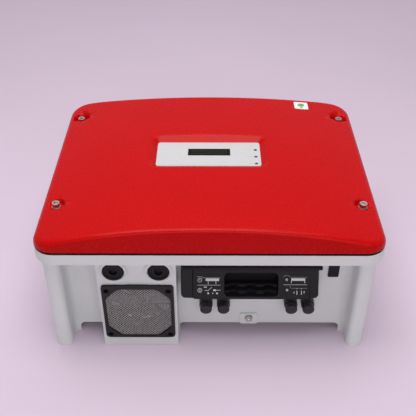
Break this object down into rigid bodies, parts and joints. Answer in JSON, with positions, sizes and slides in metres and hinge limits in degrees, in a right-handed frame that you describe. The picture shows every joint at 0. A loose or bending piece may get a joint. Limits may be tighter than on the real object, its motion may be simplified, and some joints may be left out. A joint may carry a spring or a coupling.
{
  "type": "string inverter",
  "caption": "Wall-hung solar string inverter lying on its back: light grey cast housing with legs, crowned red cover with display, pull-out disconnect handle, fan guard and capped connectors.",
  "frame": {"origin": "on the standing plane, under the middle of the rim", "axes": "+Z out of the cover, away from the wall when hung; -Y towards the connection side, which faces down on a wall; +X to the right seen from the connection side with the cover up"},
  "size_m": [0.45, 0.352, 0.2155],
  "materials": {
    "housing_paint": "fine-textured light grey powder coat",
    "cover_paint": "satin red powder coat",
    "gasket_rubber": "matte black",
    "stainless": "bright stainless",
    "washer_steel": "stainless with a dark seal",
    "panel_film": "satin white film",
    "lcd_glass": "clear window over a dark display",
    "lens_grey": "unlit grey lens",
    "label_white": "white film",
    "handle_black": "fine-textured charcoal black",
    "handle_print": "dark label fields",
    "contact_metal": "plated copper alloy",
    "socket_black": "glass-filled black",
    "connector_black": "black",
    "plug_black": "satin black",
    "seal_black": "black seal",
    "fan_black": "black",
    "mesh_wire": "woven stainless wire",
    "duct_plastic": "grey black",
    "raw_aluminium": "extruded",
    "zinc_steel": "zinc plated",
    "board_green": "solder resist",
    "module_cream": "moulded case",
    "capacitor_sleeve": "printed sleeve",
    "copper_wound": "enamelled copper winding",
    "film_blue": "moulded box",
    "relay_white": "moulded case",
    "standoff_brass": "nickel-free brass",
    "core_steel": "varnished laminations",
    "chip_black": "moulded packages",
    "terminal_green": "polyamide",
    "wire_red": "insulated cable",
    "ribbon_grey": "flat cable",
    "led_green": "unlit lamp"
  },
  "bodies": {
    "root": {"housing": "housing_paint", "cover_gasket": "gasket_rubber", "dc_socket": "socket_black", "socket_contacts": "contact_metal", "dc_connectors": "connector_black", "dc_connector_nuts": "connector_black", "cable_plugs": "plug_black", "plug_seals": "seal_black", "plug_locknuts": "plug_black", "service_plug": "plug_black", "earth_washer": "washer_steel", "earth_screw": "stainless", "fan_frame": "fan_black", "fan_screws": "zinc_steel", "fan_duct": "duct_plastic", "side_grille_left": "fan_black", "side_grille_right": "fan_black", "heatsink": "raw_aluminium", "heatsink_screws": "stainless", "hanging_rail": "zinc_steel", "rail_screws": "zinc_steel", "power_board": "board_green", "power_modules": "module_cream", "dc_link_capacitors": "capacitor_sleeve", "filter_chokes": "copper_wound", "film_capacitors": "film_blue", "relays": "relay_white", "board_standoffs": "standoff_brass", "transformer_core": "core_steel", "transformer_winding": "copper_wound", "transformer_frame": "zinc_steel", "boost_choke": "copper_wound", "control_tray": "zinc_steel", "control_board": "board_green", "control_components": "chip_black", "display_board": "board_green", "lcd_module": "lcd_glass", "indicator_leds": "led_green", "ac_terminal_block": "terminal_green", "dc_wires": "wire_red", "ribbon_cable": "ribbon_grey"},
    "cover": {"cover": "cover_paint", "cover_screws": "stainless", "cover_washers": "washer_steel", "display_panel": "panel_film", "display_window": "lcd_glass", "indicator_lenses": "lens_grey", "cover_sticker": "label_white"},
    "handle": {"handle_shell": "handle_black", "handle_backplate": "handle_black", "handle_contacts": "contact_metal", "handle_screws": "stainless", "handle_labels": "handle_print"},
    "fan": {"fan_rotor": "fan_black"},
    "guard": {"guard_frame": "fan_black", "guard_mesh": "mesh_wire"},
    "cap_1": {"dc_cap_1": "connector_black"},
    "cap_2": {"dc_cap_2": "connector_black"},
    "cap_3": {"dc_cap_3": "connector_black"},
    "cap_4": {"dc_cap_4": "connector_black"}
  },
  "joints": [
    {"name": "cover_lift", "type": "slide", "parent": "root", "child": "cover", "axis": [0, 0, 1], "range_m": [0, 0.08]},
    {"name": "handle_pull", "type": "slide", "parent": "root", "child": "handle", "axis": [0, -1, 0], "range_m": [0, 0.06]},
    {"name": "fan_spin", "type": "hinge", "parent": "root", "child": "fan", "pos_m": [-0.0955, -0.145, 0.066], "axis": [0, 1, 0], "continuous": true},
    {"name": "guard_pull", "type": "slide", "parent": "root", "child": "guard", "axis": [0, -1, 0], "range_m": [0, 0.03]},
    {"name": "cap_1_pull", "type": "slide", "parent": "root", "child": "cap_1", "axis": [0, -1, 0], "range_m": [0, 0.02]},
    {"name": "cap_2_pull", "type": "slide", "parent": "root", "child": "cap_2", "axis": [0, -1, 0], "range_m": [0, 0.02]},
    {"name": "cap_3_pull", "type": "slide", "parent": "root", "child": "cap_3", "axis": [0, -1, 0], "range_m": [0, 0.02]},
    {"name": "cap_4_pull", "type": "slide", "parent": "root", "child": "cap_4", "axis": [0, -1, 0], "range_m": [0, 0.02]}
  ]
}
